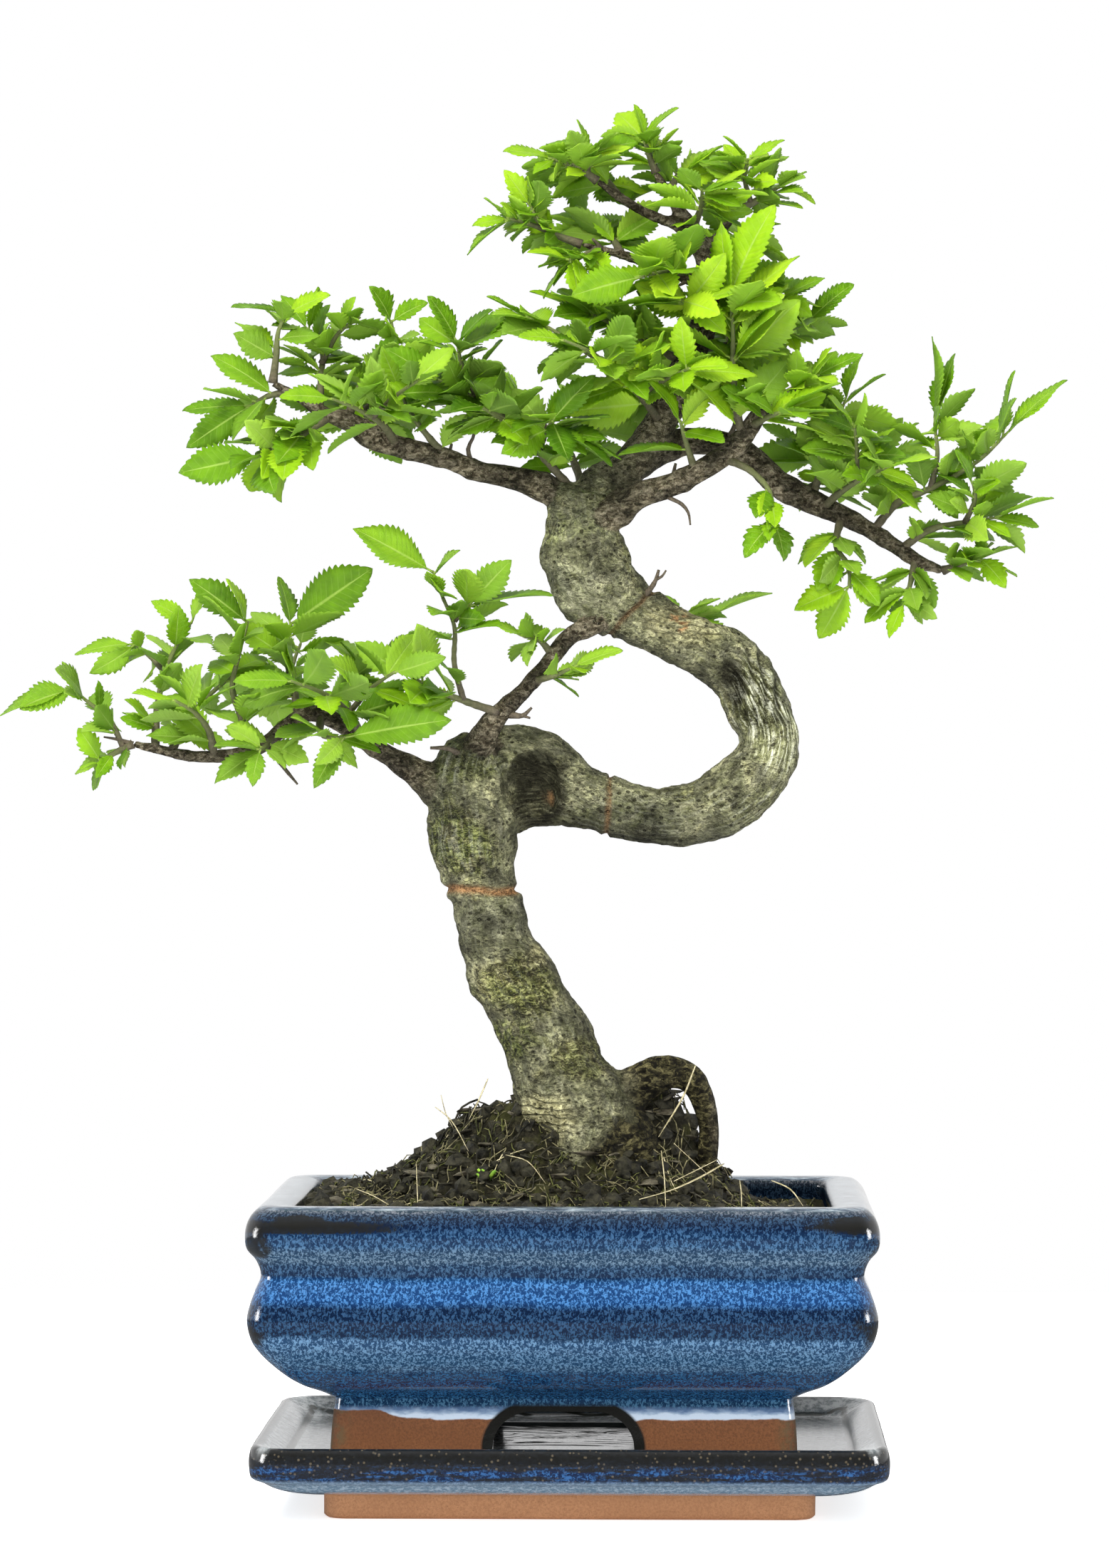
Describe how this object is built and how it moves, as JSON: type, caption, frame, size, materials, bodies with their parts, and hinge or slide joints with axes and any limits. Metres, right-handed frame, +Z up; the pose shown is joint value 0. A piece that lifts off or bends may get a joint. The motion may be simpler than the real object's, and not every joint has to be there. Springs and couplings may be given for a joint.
{
  "type": "chinese elm bonsai in a glazed pot",
  "caption": "Small elm tree with a looped trunk and serrated leaves, rooted in soil in a rectangular blue glazed pot that stands on its matching saucer.",
  "frame": {"origin": "on the ground, under the middle of the whole model's box; the middle of the pot is 11 mm to the right of it", "axes": "+Z up, along the tree; +X along the pot's long side, to the right as seen from the front; +Y away from the front"},
  "size_m": [0.3464, 0.15, 0.4551],
  "materials": {
    "saucer_glaze": "gloss",
    "pot_glaze": "gloss",
    "soil": "matte",
    "screen_plastic": "matte",
    "bark": "matte",
    "leaves": "satin"
  },
  "bodies": {
    "root": {"saucer": "saucer_glaze", "pot": "pot_glaze", "soil": "soil", "drain_screen_left": "screen_plastic", "drain_screen_right": "screen_plastic", "trunk": "bark", "spray_crown_top": "leaves", "spray_crown_left_end": "leaves", "spray_crown_left_back": "leaves", "spray_crown_centre_back": "leaves", "spray_crown_right_end": "leaves", "spray_crown_low_end": "leaves", "spray_crown_low_front": "leaves", "spray_crown_low_back": "leaves", "spray_crown_front": "leaves", "spray_crown_mid_front": "leaves", "spray_crown_mid_back": "leaves", "spray_crown_right_low": "leaves", "spray_shoot": "leaves", "spray_mid_left": "leaves", "spray_mid_back": "leaves", "spray_mid_front": "leaves", "spray_mid_right_back": "leaves", "spray_leader_left": "leaves", "spray_leader_front": "leaves", "spray_leader_right": "leaves", "spray_rise_tip": "leaves", "spray_rise_front": "leaves", "spray_rise_droop": "leaves", "spray_rise_left": "leaves", "spray_droop_up": "leaves", "spray_droop_high": "leaves", "spray_droop_side": "leaves", "spray_droop_end": "leaves", "spray_droop_hanging": "leaves", "spray_droop_low": "leaves", "spray_droop_back": "leaves", "spray_droop_front": "leaves", "spray_left_tip": "leaves", "spray_left_far": "leaves", "spray_left_low": "leaves", "spray_left_loop": "leaves", "spray_left_riser": "leaves", "spray_left_back": "leaves", "spray_left_front": "leaves", "spray_left_inner": "leaves", "spray_low_end": "leaves", "spray_low_high": "leaves", "spray_low_rear": "leaves", "spray_low_fore": "leaves", "spray_low_mid": "leaves", "spray_low_inner": "leaves", "spray_low_hanging": "leaves", "spray_low_under": "leaves", "spray_low_back": "leaves", "spray_low_front": "leaves", "spray_hanging_left": "leaves", "spray_hanging_right": "leaves", "spray_hanging_low": "leaves", "spray_loop_shoot": "leaves"}
  },
  "joints": []
}
